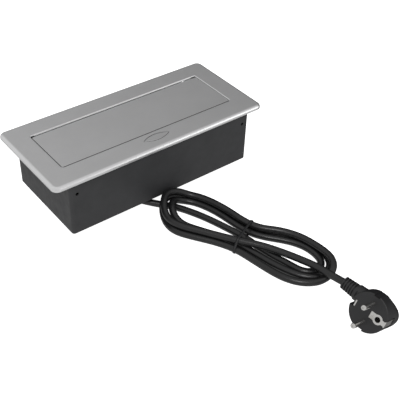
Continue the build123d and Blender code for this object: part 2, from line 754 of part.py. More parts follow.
with BuildPart() as guide_screws:
    with BuildSketch(Plane.XY.offset(64.5)):
        with Locations((btn_x - 26, -39), (btn_x + 26, -39)):
            Circle(2.4)
    extrude(amount=1.8)
    with BuildSketch(Plane.XY.offset(66.3)):
        with Locations((btn_x - 26, -39), (btn_x + 26, -39)):
            Circle(1.1)
    extrude(amount=6.2)
save(guide_screws.part, "button_guide_screws")

with BuildPart() as btn_spring:
    with BuildSketch(Plane.XY.offset(66.6)):
        with Locations((btn_x, btn_y)):
            Circle(4.4)
            Circle(3.5, mode=Mode.SUBTRACT)
    extrude(amount=4.6)
save(btn_spring.part, "button_spring")

leaf_y0, leaf_y1 = -31.1, -30.5
with BuildPart() as leaf:
    with BuildSketch(Plane.XZ.offset(-leaf_y0)):
        with BuildLine():
            Polyline(
                (-14, 48.4), (12, 48.4), (12, 57.0), (36, 57.0), (36, 69.0), (24, 69.0), (24, 63.0),
                (-24, 63.0), (-24, 69.0), (-36, 69.0), (-36, 57.0), (-14, 57.0), close=True,
            )
        make_face()
        with Locations((btn_x - 9, 50.8), (btn_x + 9, 50.8)):
            Circle(1.2, mode=Mode.SUBTRACT)
        with Locations((btn_x, 58.0)):
            Rectangle(9.0, 5.0, mode=Mode.SUBTRACT)
    extrude(amount=leaf_y0 - leaf_y1)
    # noses that pass through the keepers' windows
    for kx in (-30, 30):
        with BuildSketch(yz(kx - 3.6)):
            with BuildLine():
                Polyline((leaf_y0, 69.0), (leaf_y0, 66.6), (-27.2, 66.6), (-27.2, 67.3), (leaf_y1, 68.6), close=True)
            make_face()
        extrude(amount=7.2)
    # ramp bent forward out of the leaf's window
    with BuildSketch(yz(btn_x - 4.4)):
        with BuildLine():
            Polyline(
                (leaf_y1, 54.6), (leaf_y1, 55.5), (leaf_y0 + 0.3, 55.5), (-38.6, 63.3),
                (-39.1, 62.8), (leaf_y0, 54.6), close=True,
            )
        make_face()
    extrude(amount=8.8)
save(leaf.part, "latch_spring")

with BuildPart() as latch_screws:
    with BuildSketch(Plane.XZ.offset(-leaf_y1)):
        with Locations((btn_x - 9, 50.8), (btn_x + 9, 50.8)):
            Circle(2.0)
    extrude(amount=-1.2)
    with BuildSketch(Plane.XZ.offset(-leaf_y1)):
        with Locations((btn_x - 9, 50.8), (btn_x + 9, 50.8)):
            Circle(1.0)
    extrude(amount=4.2)
save(latch_screws.part, "latch_screws")


# ================================================================ fasteners
with BuildPart() as bezel_screws:
    with BuildSketch(Plane.XY.offset(62.9)):
        with Locations((-90, -41), (90, -41), (-62, 42), (62, 42)):
            Circle(2.8)
    extrude(amount=2.1)
    with BuildSketch(Plane.XY.offset(65.0)):
        with Locations((-90, -41), (90, -41), (-62, 42), (62, 42)):
            Circle(1.3)
    extrude(amount=8.2)
save(bezel_screws.part, "bezel_screws")

with BuildPart() as base_screws:
    with BuildSketch(Plane.XY.offset(base_h - 1.9)):
        with Locations(*[(x, y) for x in (-70, 0, 70) for y in (-46, 46)]):
            Circle(2.7)
    extrude(amount=1.9)
    with BuildSketch(Plane.XY.offset(base_h)):
        with Locations(*[(x, y) for x in (-70, 0, 70) for y in (-46, 46)]):
            Circle(1.25)
    extrude(amount=6.2)
save(base_screws.part, "base_screws")


# ================================================================ inside the base pan
with BuildPart() as block:
    with BuildSketch(Plane.XY.offset(2.0)):
        with Locations((-58, 14)):
            RectangleRounded(30, 18, 1)
    extrude(amount=14)
    with BuildSketch(Plane.XZ.offset(-4.0)):
        with Locations((-67, 7.0), (-58, 7.0), (-49, 7.0)):
            Circle(1.6)
    extrude(amount=-22, mode=Mode.SUBTRACT)
    with BuildSketch(Plane.XY.offset(7.0)):
        with Locations(*[(x, y) for x in (-67, -58, -49) for y in (10, 18)]):
            Circle(1.7)
    extrude(amount=12, mode=Mode.SUBTRACT)
save(block.part, "terminal_block")

with BuildPart() as tscrews:
    with BuildSketch(Plane.XY.offset(9.3)):
        with Locations(*[(x, y) for x in (-67, -58, -49) for y in (10, 18)]):
            Circle(1.62)
    extrude(amount=5.2)
save(tscrews.part, "terminal_screws")

clamp_plane = Plane(origin=(-51.0, -8.5, 10.1), x_dir=(q, q, 0), z_dir=(0, 0, 1))
with BuildPart() as clamp:
    with BuildSketch(clamp_plane):
        RectangleRounded(21.4, 6.4, 1.4)
        with Locations((-7.4, 0), (7.4, 0)):
            Circle(1.5, mode=Mode.SUBTRACT)
    extrude(amount=2.4)
save(clamp.part, "lead_clamp")

with BuildPart() as clamp_screws:
    with BuildSketch(clamp_plane.offset(2.4)):
        with Locations((-7.4, 0), (7.4, 0)):
            Circle(2.5)
    extrude(amount=1.7)
    with BuildSketch(clamp_plane.offset(2.4)):
        with Locations((-7.4, 0), (7.4, 0)):
            Circle(1.2)
    extrude(amount=-8.0)
save(clamp_screws.part, "lead_clamp_screws")


def tube(points, d, trim=0.45):
    """Round tube: straight runs with tangent arcs at the corners."""
    pts = [Vector(*p) for p in points]
    radii = []
    for a, b, c in zip(pts, pts[1:], pts[2:]):
        u, w = (b - a), (c - b)
        half = math.radians(u.get_angle(w)) / 2
        radii.append(trim * min(u.length, w.length) / math.tan(half))
    with BuildPart() as t:
        with BuildLine() as path:
            FilletPolyline(*pts, radius=radii)
        wire = path.wires()[0]
        with BuildSketch(Plane(origin=wire @ 0, z_dir=wire % 0)):
            Circle(d / 2)
        sweep(path=wire)
    return t.part, wire.length, radii


def tube_report(name, part, length, radii, d):
    ideal = math.pi * d * d / 4 * length
    print(name, "length %.1f" % length, "volume/ideal %.4f" % (part.volume / ideal),
          "radii", [round(r) for r in radii])


# flexible inner leads from the terminals to the busbars, with slack behind the carrier
for name, x0, x1, v in (("live", -67, -64, live_v), ("neutral", -58, -56, neutral_v), ("earth", -49, -48, socket_v + earth_off)):
    a, b = carr(v, 32.9), carr(v, 40.4)
    c = (b[0] + 6.5 * math.cos(math.radians(5)), b[1] - 6.5 * math.sin(math.radians(5)))
    e = (c[0] + 6.5 * math.cos(math.radians(34)), c[1] - 6.5 * math.sin(math.radians(34)))
    run = [(14.0, 7.0), (27.0, 7.0), (30.6, 10.5), (33.0, 17.5), (42.6, 24.6), (46.4, 32.0), (47.2, 40.5), e, c, b, a]
    pts = [(x0 + (x1 - x0) * k / (len(run) - 1), y, z) for k, (y, z) in enumerate(run)]
    w, ln, rr = tube(pts, 2.4)
    tube_report("inner lead " + name, w, ln, rr, 2.4)
    save(w, "inner_lead_" + name)


# ================================================================ mains lead
with BuildPart() as gland:
    with BuildSketch(gland_plane):
        Circle(5.0)
    with BuildSketch(gland_plane.offset(20)):
        Circle(4.2)
    loft()
    with BuildSketch(gland_plane.offset(-2.0)):
        Circle(4.0)
    extrude(amount=2.0)
    with BuildSketch(gland_plane.offset(-3.6)):
        Circle(4.4)
    extrude(amount=1.6)
    with BuildSketch(gland_plane.offset(-5)):
        Circle(cord_d / 2)
    extrude(amount=30, mode=Mode.SUBTRACT)
save(gland.part, "lead_gland")

with BuildPart() as inner_jacket:
    with BuildSketch(gland_plane.offset(-16)):
        Circle(cord_d / 2)
    extrude(amount=16)
save(inner_jacket.part, "lead_inner_end")

# from the gland, under the box's front edge, to the hank
lead_route = [
    (-45.1, -14.4, 6.5), (-30.9, -28.6, 6.5), (-21.8, -38.5, 5.2), (-13.9, -47.5, 3.8), (-6.45, -56.35, 3.5),
]
w, ln, rr = tube(lead_route, cord_d)
tube_report("mains lead", w, ln, rr, cord_d)
save(w, "mains_lead")

hank_outline = [
    (-0.9, -52.3), (-11.7, -60.8), (-18.5, -68.0), (-23.0, -77.0), (-25.2, -87.0), (-24.0, -98.0), (-18.5, -109.0),
    (-11.0, -119.5), (-3.5, -129.5), (3.6, -139.5), (9.6, -149.3), (12.0, -156.5), (12.6, -166.0), (13.6, -180.0),
    (15.5, -195.0), (18.5, -207.0), (24.5, -217.0), (32.0, -225.0), (42.0, -230.6), (59.0, -231.8),
    (67.5, -225.5), (73.0, -214.0), (75.8, -200.0), (76.0, -188.0), (72.5, -175.5), (66.0, -163.0),
    (58.5, -150.0), (51.4, -137.0), (49.0, -130.5), (46.6, -123.0), (44.0, -112.0), (41.5, -98.0), (38.5, -85.0),
    (34.5, -72.0), (28.0, -62.0), (20.0, -55.0), (10.0, -52.3),
]
tie_dir = Vector(0.911, 0.412, 0).normalized()
tie_plane = Plane(origin=(30.4, -141.4, 0), x_dir=tie_dir, z_dir=tie_dir.cross(Vector(0, 0, 1)))
with BuildPart() as hank:
    with BuildSketch():
        with BuildLine():
            Polyline(*hank_outline, close=True)
        make_face()
    extrude(amount=13.9)
    fillet(hank.faces().sort_by(Axis.Z)[-1].edges(), 2.5)
    # last turn lies on top of the others on its way to the plug
    with BuildSketch(Plane.XY.offset(10.0)):
        with BuildLine() as top_turn:
            Polyline((33.0, -160.0), (37.3, -178.0), (43.8, -194.0), (47.6, -208.0), (49.4, -220.0), (50.1, -230.9))
        trace(top_turn.line, 8.0)
    extrude(amount=7.5)
    # room for the tie under the strands
    with BuildSketch(tie_plane.offset(-1.6)):
        Rectangle(60, 2.4)
    extrude(amount=3.2, mode=Mode.SUBTRACT)
save(hank.part, "lead_hank")

# tie round the middle of the hank
with BuildPart() as tie:
    with BuildSketch(tie_plane.offset(-1.1)):
        with Locations((0, 7.8)):
            RectangleRounded(49.4, 15.4, 2.6)
            RectangleRounded(47.8, 13.4, 1.8, mode=Mode.SUBTRACT)
    extrude(amount=2.2)
save(tie.part, "lead_tie")


# ================================================================ plug, lying on its side
plug_o = Vector(37.4, -290.3, 22.35)
pa = Vector(-0.894, -0.134, 0.427).normalized()       # the way the pins point
pc = Vector(0.112, -0.991, -0.078)
pc = (pc - pa * pc.dot(pa)).normalized()              # away from the lead
pb = pc.cross(pa).normalized()
plug_face = Plane(origin=plug_o, x_dir=pc, z_dir=pa)  # local x: away from the lead, z: along the pins
neck_d = 21.9                                         # lead axis behind the face

with BuildPart() as plug:
    with BuildSketch(plug_face.offset(-14.0)):
        Circle(18.0)
    extrude(amount=14.0)
    # rounded grip, fuller at the end away from the lead
    with BuildSketch(plug_face.offset(-14.0)):
        Circle(18.0)
    for depth, cx, cy, rx, ry in ((19.0, 1.4, -0.3, 17.4, 15.2), (24.0, 3.4, -0.4, 15.4, 12.0), (30.0, 4.4, -0.8, 11.2, 8.4)):
        with BuildSketch(plug_face.offset(-depth)):
            with Locations((cx, cy)):
                Ellipse(rx, ry)
    loft()
    fillet(plug.faces().filter_by(GeomType.PLANE).sort_by(Axis(origin=plug_o, direction=pa))[0].edges(), 3.0)
    fillet(plug.faces().filter_by(GeomType.PLANE).sort_by(Axis(origin=plug_o, direction=pa))[-1].edges(), 0.8)
    neck_plane = Plane(origin=plug_o - pa * neck_d - pc * 5.0, x_dir=pa, z_dir=-pc)
    with BuildSketch(neck_plane):
        Circle(8.6)
    with BuildSketch(neck_plane.offset(18.5)):
        Circle(7.6)
    loft()
    # flats with guide grooves beside the pins, and seats for the earth clips
    with BuildSketch(plug_face.offset(-15.5)):
        with Locations((0, 18.4), (0, -18.4)):
            Rectangle(5.4, 4.4)
        with Locations((19.4, 0)):
            Rectangle(5.2, 9.0)
        with Locations((-17.4, 0.5)):
            Rectangle(9.2, 6.8)
    extrude(amount=20, mode=Mode.SUBTRACT)
    # holes: two pins and the earth tube
    with BuildSketch(plug_face.offset(-14)):
        with Locations((0, -pole_pitch / 2), (0, pole_pitch / 2)):
            Circle(2.4)
        with Locations((earth_off, 0)):
            Circle(3.3)
    extrude(amount=20, mode=Mode.SUBTRACT)
    # shallow seat of the earth strap
    with BuildSketch(plug_face.offset(-1.0)):
        with Locations((7.6, 0.4)):
            Rectangle(11.2, 6.8)
        with Locations((earth_off, 0)):
            Circle(4.7)
        with Locations((15.4, 0)):
            Rectangle(8.2, 4.6)
    extrude(amount=3, mode=Mode.SUBTRACT)
save(plug.part, "plug_body")

with BuildPart() as plug_pins:
    with BuildSketch(plug_face.offset(-14.0)):
        with Locations((0, -pole_pitch / 2), (0, pole_pitch / 2)):
            Circle(2.4)
    extrude(amount=14.0 + 19.0)
    fillet(plug_pins.faces().filter_by(GeomType.PLANE).sort_by(Axis(origin=plug_o, direction=pa))[-2:].edges(), 1.3)
    with BuildSketch(plug_face.offset(18.0)):
        with Locations((0, -pole_pitch / 2), (0, pole_pitch / 2)):
            Circle(0.8)
    extrude(amount=3, mode=Mode.SUBTRACT)
save(plug_pins.part, "plug_pins")

with BuildPart() as strap:
    with BuildSketch(plug_face.offset(-14.0)):
        with Locations((earth_off, 0)):
            Circle(3.25)
    extrude(amount=13.6)
    with BuildSketch(plug_face.offset(-0.9)):
        with Locations((7.6, 0.4)):
            Rectangle(10.9, 6.5)
        with Locations((earth_off, 0)):
            Circle(4.55)
        with Locations((14.6, 0)):
            Rectangle(6.0, 4.3)
    extrude(amount=0.7)
    with BuildSketch(plug_face.offset(-15.2)):
        with Locations((17.2, 0)):
            Rectangle(0.8, 6.0)
    extrude(amount=15.0)
    with BuildSketch(plug_face.offset(-14)):
        with Locations((earth_off, 0)):
            Circle(2.6)
    extrude(amount=20, mode=Mode.SUBTRACT)
save(strap.part, "plug_earth_tube")

with BuildPart() as clip:
    with BuildSketch(plug_face.offset(-15.2)):
        with Locations((-13.5, 0.5)):
            Rectangle(1.2, 5.8)
    extrude(amount=15.0)
save(clip.part, "plug_earth_clip")

relief_plane = Plane(origin=plug_o - pa * neck_d - pc * 23.5, x_dir=pa, z_dir=-pc)
with BuildPart() as relief:
    with BuildSketch(relief_plane):
        Circle(6.9)
    with BuildSketch(relief_plane.offset(14.5)):
        Circle(6.0)
    loft()
    for k in range(5):
        r_out = 6.9 - 0.9 * (1.5 + 2.6 * k + 0.6) / 14.5
        with BuildSketch(relief_plane.offset(1.5 + 2.6 * k)):
            Circle(r_out + 1)
            Circle(r_out - 1.5, mode=Mode.SUBTRACT)
        extrude(amount=1.2, mode=Mode.SUBTRACT)
    with BuildSketch(relief_plane.offset(4)):
        Circle(cord_d / 2)
    extrude(amount=14, mode=Mode.SUBTRACT)
save(relief.part, "plug_strain_relief")

# end of the lead, from the hank up into the plug's strain relief
r_end = relief_plane.origin + relief_plane.z_dir * 4.0
r_out = relief_plane.origin + relief_plane.z_dir * 15.2
tail_route = [(50.2, -231.4, 14.0), (51.1, -240.0, 15.2), tuple(r_out), tuple(r_end)]
w, ln, rr = tube(tail_route, cord_d)
tube_report("lead end", w, ln, rr, cord_d)
save(w, "lead_end")
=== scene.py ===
import json
import math

import bmesh
import bpy
from mathutils import Matrix, Vector

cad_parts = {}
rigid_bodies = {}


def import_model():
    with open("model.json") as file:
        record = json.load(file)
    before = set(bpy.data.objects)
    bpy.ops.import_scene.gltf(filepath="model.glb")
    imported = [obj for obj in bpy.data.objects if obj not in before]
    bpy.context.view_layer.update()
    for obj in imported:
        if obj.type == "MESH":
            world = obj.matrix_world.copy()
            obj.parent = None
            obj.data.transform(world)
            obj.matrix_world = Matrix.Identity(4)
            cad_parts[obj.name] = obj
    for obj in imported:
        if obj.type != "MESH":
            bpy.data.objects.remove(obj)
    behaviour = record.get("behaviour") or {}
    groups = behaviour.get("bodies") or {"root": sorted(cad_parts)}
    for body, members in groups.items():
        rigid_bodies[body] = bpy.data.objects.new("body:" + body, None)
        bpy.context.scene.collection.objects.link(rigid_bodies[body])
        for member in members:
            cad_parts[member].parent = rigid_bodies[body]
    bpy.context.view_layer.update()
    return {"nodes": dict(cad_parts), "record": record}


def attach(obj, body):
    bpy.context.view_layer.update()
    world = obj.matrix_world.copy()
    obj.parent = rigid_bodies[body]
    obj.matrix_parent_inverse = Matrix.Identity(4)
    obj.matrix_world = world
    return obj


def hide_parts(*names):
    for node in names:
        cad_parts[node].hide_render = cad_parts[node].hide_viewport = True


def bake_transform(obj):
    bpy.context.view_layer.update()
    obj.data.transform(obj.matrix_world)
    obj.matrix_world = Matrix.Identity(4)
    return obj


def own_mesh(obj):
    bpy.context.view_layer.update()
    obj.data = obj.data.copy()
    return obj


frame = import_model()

MM = 0.001
nodes = frame["nodes"]
scene = bpy.context.scene


# ---------------------------------------------------------------- camera
# Fitted to the straight edges of the rim, lid and box.
yaw, pitch, roll = (math.radians(a) for a in (39.559, -39.494, 2.466))
fwd = Vector((math.sin(yaw) * math.cos(pitch), math.cos(yaw) * math.cos(pitch), math.sin(pitch)))
right0 = Vector((math.cos(yaw), -math.sin(yaw), 0.0))
up0 = right0.cross(fwd)
right = math.cos(roll) * right0 + math.sin(roll) * up0
up = -math.sin(roll) * right0 + math.cos(roll) * up0
cam_data = bpy.data.cameras.new("view")
cam = bpy.data.objects.new("view", cam_data)
scene.collection.objects.link(cam)
cam.matrix_world = Matrix((
    (right.x, up.x, -fwd.x, -0.35757),
    (right.y, up.y, -fwd.y, -0.54056),
    (right.z, up.z, -fwd.z, 0.50367),
    (0, 0, 0, 1),
))
cam_data.sensor_width = 36.0
cam_data.lens = 69.434
cam_data.clip_start, cam_data.clip_end = 0.01, 50
scene.camera = cam


# ---------------------------------------------------------------- materials
def tree(name):
    m = bpy.data.materials.new(name)
    m.use_nodes = True
    nt = m.node_tree
    nt.nodes.clear()
    out = nt.nodes.new("ShaderNodeOutputMaterial")
    sh = nt.nodes.new("ShaderNodeBsdfPrincipled")
    nt.links.new(sh.outputs[0], out.inputs[0])
    co = nt.nodes.new("ShaderNodeTexCoord")
    return m, nt, sh, co


def noise(nt, co, scale, detail=3.0, rough=0.55, stretch=None):
    n = nt.nodes.new("ShaderNodeTexNoise")
    n.inputs["Scale"].default_value = scale
    n.inputs["Detail"].default_value = detail
    n.inputs["Roughness"].default_value = rough
    if stretch:
        mp = nt.nodes.new("ShaderNodeMapping")
        mp.inputs["Scale"].default_value = stretch
        nt.links.new(co.outputs["Object"], mp.inputs["Vector"])
        nt.links.new(mp.outputs[0], n.inputs["Vector"])
    else:
        nt.links.new(co.outputs["Object"], n.inputs["Vector"])
    return n.outputs["Fac"]


def ramp(nt, fac, lo, hi, a, b):
    r = nt.nodes.new("ShaderNodeValToRGB")
    r.color_ramp.elements[0].position, r.color_ramp.elements[1].position = lo, hi
    r.color_ramp.elements[0].color = (*a, 1)
    r.color_ramp.elements[1].color = (*b, 1)
    nt.links.new(fac, r.inputs[0])
    return r.outputs[0]


def span(nt, fac, lo, hi, a, b):
    r = nt.nodes.new("ShaderNodeMapRange")
    r.inputs["From Min"].default_value, r.inputs["From Max"].default_value = lo, hi
    r.inputs["To Min"].default_value, r.inputs["To Max"].default_value = a, b
    nt.links.new(fac, r.inputs[0])
    return r.outputs[0]


def bumps(nt, sh, layers):
    """Bump layers, each (height socket, strength, distance in metres), one on the other."""
    last = None
    for h, strength, dist in layers:
        b = nt.nodes.new("ShaderNodeBump")
        b.inputs["Strength"].default_value = strength
        b.inputs["Distance"].default_value = dist
        nt.links.new(h, b.inputs["Height"])
        if last:
            nt.links.new(last, b.inputs["Normal"])
        last = b.outputs[0]
    nt.links.new(last, sh.inputs["Normal"])


def finish_of(name, tone, vary=0.06, scale=60, rough=(0.4, 0.5), metallic=0.0, grain=(900, 0.15, 0.00005),
              large=None, stretch=None, specular=0.5, coat=0.0, coat_rough=0.1, tint=None):
    """A finish with cloudy tone, uneven gloss and a fine surface grain."""
    m, nt, sh, co = tree(name)
    a = tuple(c * (1 - vary) for c in tone)
    b = tuple(min(1, c * (1 + vary)) for c in (tint or tone))
    nt.links.new(ramp(nt, noise(nt, co, scale, 4, 0.6, stretch), 0.3, 0.7, a, b), sh.inputs["Base Color"])
    nt.links.new(span(nt, noise(nt, co, scale * 3.1, 3, 0.6, stretch), 0.3, 0.7, *rough), sh.inputs["Roughness"])
    layers = [(noise(nt, co, grain[0], 2, 0.5, stretch), grain[1], grain[2])]
    if large:
        layers.append((noise(nt, co, large[0], 2, 0.5), large[1], large[2]))
    bumps(nt, sh, layers)
    sh.inputs["Metallic"].default_value = metallic
    sh.inputs["Specular IOR Level"].default_value = specular
    sh.inputs["Coat Weight"].default_value = coat
    sh.inputs["Coat Roughness"].default_value = coat_rough
    return m


MATS = {
    # fine satin silver of the rim and lid
    "satin_metal": finish_of("satin_metal", (0.85, 0.85, 0.855), 0.02, 35, (0.30, 0.36), 0.95, (2600, 0.10, 0.00003), (60, 0.04, 0.0002)),
    "button_metal": finish_of("button_metal", (0.82, 0.82, 0.825), 0.02, 45, (0.29, 0.35), 0.95, (2600, 0.10, 0.00003)),
    # powder coat with a fine orange peel
    "black_sheet": finish_of("black_sheet", (0.029, 0.0295, 0.031), 0.10, 40, (0.44, 0.56), 0.0, (1500, 0.22, 0.00008), (260, 0.10, 0.00012), specular=0.45),
    "black_plastic": finish_of("black_plastic", (0.030, 0.030, 0.032), 0.08, 70, (0.42, 0.52), 0.0, (1900, 0.25, 0.00007), specular=0.5),
    "white_plastic": finish_of("white_plastic", (0.76, 0.76, 0.73), 0.03, 60, (0.35, 0.45), 0.0, (1700, 0.12, 0.00005)),
    "zinc_steel": finish_of("zinc_steel", (0.60, 0.61, 0.62), 0.10, 240, (0.26, 0.42), 1.0, (1400, 0.14, 0.00004), tint=(0.62, 0.61, 0.57)),
    "spring_steel": finish_of("spring_steel", (0.50, 0.50, 0.51), 0.08, 320, (0.22, 0.36), 1.0, (1600, 0.12, 0.00004)),
    "brass": finish_of("brass", (0.70, 0.52, 0.24), 0.10, 160, (0.24, 0.38), 1.0, (1500, 0.12, 0.00004), tint=(0.74, 0.58, 0.30)),
    "nickel": finish_of("nickel", (0.72, 0.71, 0.69), 0.05, 200, (0.16, 0.28), 1.0, (1500, 0.08, 0.00003)),
    "cord_black": finish_of("cord_black", (0.009, 0.009, 0.0095), 0.12, 90, (0.26, 0.34), 0.0, (1300, 0.14, 0.00006), (150, 0.08, 0.0002), specular=0.52),
    "rubber_black": finish_of("rubber_black", (0.014, 0.014, 0.015), 0.10, 80, (0.36, 0.46), 0.0, (1500, 0.28, 0.00008), specular=0.5),
    "tie_black": finish_of("tie_black", (0.010, 0.010, 0.011), 0.10, 200, (0.38, 0.50), 0.0, (1500, 0.20, 0.00006)),
    "wire_brown": finish_of("wire_brown", (0.16, 0.065, 0.03), 0.08, 120, (0.34, 0.45), 0.0, (1400, 0.12, 0.00005)),
    "wire_blue": finish_of("wire_blue", (0.02, 0.09, 0.38), 0.08, 120, (0.34, 0.45), 0.0, (1400, 0.12, 0.00005)),
}


def stripe_wire():
    m, nt, sh, co = tree("wire_green_yellow")
    w = nt.nodes.new("ShaderNodeTexWave")
    w.wave_type, w.bands_direction = "BANDS", "X"
    w.inputs["Scale"].default_value = 90
    w.inputs["Distortion"].default_value = 0.4
    nt.links.new(co.outputs["Object"], w.inputs["Vector"])
    nt.links.new(ramp(nt, w.outputs["Fac"], 0.46, 0.54, (0.04, 0.30, 0.05), (0.62, 0.56, 0.03)), sh.inputs["Base Color"])
    nt.links.new(span(nt, noise(nt, co, 300), 0.3, 0.7, 0.34, 0.46), sh.inputs["Roughness"])
    bumps(nt, sh, [(noise(nt, co, 1400), 0.12, 0.00005)])
    return m


MATS["wire_green_yellow"] = stripe_wire()


def metal_with_painted_shade(name, tone, rough, lo, hi, front=None):
    """Satin metal on top, with painted shade: the walls that do not face the rear are painted near-black for the shaded
    gap around the piece, and, when front is given, a painted shadow line runs along the top's front edge.
    """
    m = finish_of(name, tone, 0.02, 35, rough, 0.95, (2600, 0.10, 0.00003), (60, 0.04, 0.0002))
    nt = m.node_tree
    sh = next(n for n in nt.nodes if n.type == "BSDF_PRINCIPLED")
    co = next(n for n in nt.nodes if n.type == "TEX_COORD")
    # painted shade mask from the object normal: faces pointing up or to the rear keep the metal, all other walls are
    # painted near-black
    xyz = nt.nodes.new("ShaderNodeSeparateXYZ")
    nt.links.new(co.outputs["Normal"], xyz.inputs[0])
    both = nt.nodes.new("ShaderNodeMath")
    both.operation = "MAXIMUM"
    nt.links.new(span(nt, xyz.outputs["Z"], lo, hi, 0.0, 1.0), both.inputs[0])
    nt.links.new(span(nt, xyz.outputs["Y"], 0.05, 0.30, 0.0, 1.0), both.inputs[1])
    metal_outside_painted_shade = both.outputs[0]
    if front is not None:
        # painted shadow line along the top's front edge: fully dark within 0.25 mm of it, fading to metal at 0.6 mm
        place = nt.nodes.new("ShaderNodeSeparateXYZ")
        nt.links.new(co.outputs["Object"], place.inputs[0])
        edge = nt.nodes.new("ShaderNodeMath")
        edge.operation = "MULTIPLY"
        nt.links.new(metal_outside_painted_shade, edge.inputs[0])
        nt.links.new(span(nt, place.outputs["Y"], front + 0.00025, front + 0.00060, 0.0, 1.0), edge.inputs[1])
        metal_outside_painted_shade = edge.outputs[0]
    mix = nt.nodes.new("ShaderNodeMix")
    mix.data_type = "RGBA"
    nt.links.new(metal_outside_painted_shade, mix.inputs["Factor"])
    # near-black colour of the painted shade; the metallic is taken down with it below
    mix.inputs["A"].default_value = (0.012, 0.012, 0.013, 1)
    nt.links.new(sh.inputs["Base Color"].links[0].from_socket, mix.inputs["B"])
    nt.links.new(mix.outputs["Result"], sh.inputs["Base Color"])
    nt.links.new(span(nt, metal_outside_painted_shade, 0.0, 1.0, 0.0, 0.95), sh.inputs["Metallic"])
    return m

for part in frame["record"]["subparts"]:
    o = nodes[part["node"]]
    o.data.materials.clear()
    o.data.materials.append(MATS[part["material_slot"]])

# painted shade on the walls of the lid and the button, and a painted shadow line at the lid's front edge
for name, tone, lo, hi, front in (
    ("lid_plate", (0.85, 0.85, 0.855), 0.12, 0.40, -0.0287),
    ("release_button", (0.82, 0.82, 0.825), 0.50, 0.93, None),
):
    o = nodes[name]
    o.data.materials.clear()
    o.data.materials.append(metal_with_painted_shade(name + "_satin_painted_shade", tone, (0.30, 0.36), lo, hi, front))


# ---------------------------------------------------------------- helpers
def mesh_object(name, bm, body, slot, *replaced):
    me = bpy.data.meshes.new(name)
    bm.normal_update()
    bm.to_mesh(me)
    bm.free()
    for p in me.polygons:
        p.use_smooth = True
    o = bpy.data.objects.new(name, me)
    scene.collection.objects.link(o)
    me.materials.append(MATS[slot])
    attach(o, body)
    if replaced:
        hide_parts(*replaced)
    return o


# ---------------------------------------------------------------- lead
Zf, Zt = 3.5, 9.6


def level(points, z):
    return [(x, y, z) for x, y in points]


route = [
    # out of the gland and under the box's front edge
    (-45.1, -14.4, 6.5), (-38, -21.5, 6.5), (-30.9, -28.6, 6.5), (-21.8, -38.5, 5.2), (-13.9, -47.5, 3.8), (-6.4, -56.4, 3.5),
    # middle of the hank, on the floor
    *level([(1.2, -65.5), (6.9, -75.5), (11.6, -85.5), (15.6, -95.5), (19.0, -105.5), (22.0, -115.5), (24.9, -126), (27.4, -136.5)], Zf),
    # first turn round the far end
    *level([(29.7, -147.1), (30.6, -158.7), (32.6, -169.9), (34.6, -180.9), (37.5, -190.9), (39.4, -200.5), (42.2, -209.2), (48.8, -215.4),
            (57.8, -216.0), (65.2, -211.4), (68.2, -202.8), (68.4, -192.3), (65.8, -182.0), (60.2, -171.7), (52.4, -161.9),
            (44.3, -152.2), (38.1, -141.3)], Zf),
    *level([(34.8, -127.6), (33.2, -114.3), (31.6, -102.0), (29.0, -90.5), (25.4, -79.6)], Zf),
    # inner bend at the near end, over the first stretch
    (20.4, -70.8, 3.8), (13.4, -64.6, 4.8), (5.2, -62.8, 8.6), (-2.0, -66.4, 11.0), (-6.8, -72.6, 10.4), (-9.2, -79.8, 7.6),
    (-9.2, -87.8, 4.8), (-6.6, -96.0, 3.6),
    *level([(-2.2, -104.4), (2.6, -113.0), (7.4, -121.8), (12.0, -130.8), (16.4, -140.2)], Zf),
    # second turn round the far end
    *level([(19.5, -150.7), (21.7, -161.4), (23.8, -172.4), (26.0, -183.4), (29.0, -194.1), (32.8, -204.5), (38.2, -214.6),
            (46.2, -222.0), (56.6, -224.2), (66.8, -220.8), (73.8, -212.6), (75.6, -202.0), (75.5, -190.9), (73.0, -178.9),
            (67.3, -166.4), (58.6, -155.1), (48.8, -145.3)], Zf),
    *level([(43.8, -132.9), (41.7, -119.2), (40.2, -105.9), (37.6, -93.4), (34.0, -80.9), (28.2, -69.4)], Zf),
    # outer bend at the near end
    (20.0, -61.0, 4.4), (10.6, -57.0, 7.6), (1.2, -56.2, 10.4), (-7.4, -59.4, 10.8), (-13.4, -65.8, 7.6), (-17.6, -74.0, 4.4),
    *level([(-20.2, -83.4), (-20.4, -93.0), (-17.0, -102.2), (-11.4, -111.0), (-5.4, -119.8), (0.6, -128.8), (6.0, -138.2)], Zf),
    # third turn round the far end, climbing over the second
    *level([(10.6, -148.4), (13.4, -159.5), (15.4, -171.5), (17.4, -183.5), (19.8, -195.5), (23.4, -207.0), (29.4, -217.0),
            (37.6, -224.4)], Zf),
    (46.8, -228.8, 4.0), (56.4, -230.6, 7.6), (65.0, -226.2, 10.8), (70.8, -217.2, 11.0), (72.4, -206.0, 10.4), (71.9, -193.9, 9.6),
    (69.6, -181.2, 9.6), (64.4, -169.0, 9.6), (56.8, -157.8, 9.6), (46.9, -147.8, 9.6),
    *level([(41.2, -136.6), (38.3, -122.3), (37.1, -109.5), (34.8, -97.5), (31.6, -85.5), (27.0, -74.4), (21.2, -66.2)], Zt),
    # top bend at the near end, piled on the outer one
    (14.2, -60.2, 12.8), (5.4, -57.2, 16.6), (-4.0, -58.8, 18.0), (-11.4, -65.0, 17.0), (-16.6, -73.0, 13.6), (-19.0, -82.0, 10.6),
    (-17.8, -91.6, 9.8), (-13.6, -100.8, 9.6), (-7.8, -109.8, 9.6), (-1.8, -118.8, 9.6), (4.0, -128.0, 9.6), (9.8, -137.6, 9.8),
    (15.8, -147.4, 10.4),
    # over the hank to the plug
    (22.4, -156.6, 10.6), (28.8, -166.0, 10.6), (34.6, -176.2, 10.6), (39.8, -187.0, 10.6), (44.2, -198.0, 10.8), (47.6, -209.4, 11.8),
    (49.7, -220.8, 13.4), (50.4, -231.6, 14.6), (51.3, -241.0, 15.4), (52.7, -249.7, 16.0),
]

